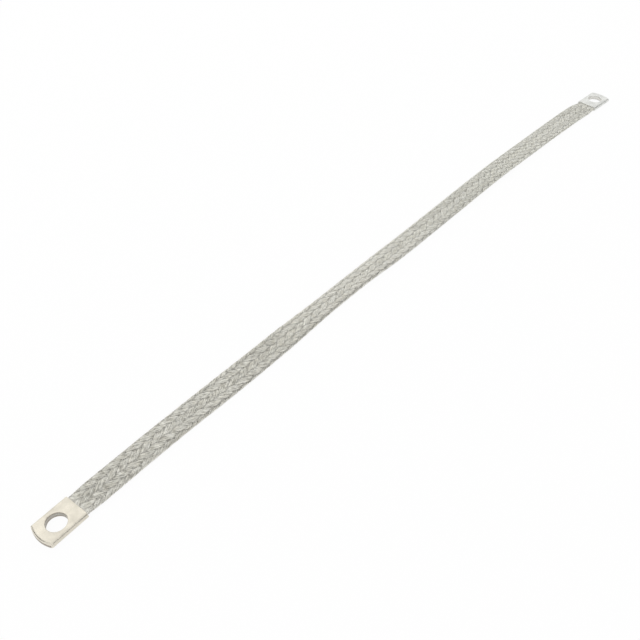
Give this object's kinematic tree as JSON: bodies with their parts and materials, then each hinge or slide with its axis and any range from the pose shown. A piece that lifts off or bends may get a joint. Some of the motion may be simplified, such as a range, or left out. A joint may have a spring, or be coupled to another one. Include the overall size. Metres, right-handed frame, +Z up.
{
  "type": "flexible busbar braid",
  "caption": "Flat flexible strap of plaited tinned copper wire, with a pressed copper lug and a bolt hole at each end.",
  "frame": {"origin": "under the middle of the whole strap, on the surface that it lies on", "axes": "+X along the strap from lug_a to lug_b, +Z up from the surface that it lies on"},
  "size_m": [0.4502, 0.018, 0.0035],
  "materials": {
    "braid": "fine tinned copper wires plaited together, soft grey sheen",
    "lug": "satin tin plate on pressed copper tube"
  },
  "bodies": {
    "root": {"braid": "braid", "lug_a": "lug", "lug_b": "lug"}
  },
  "joints": []
}
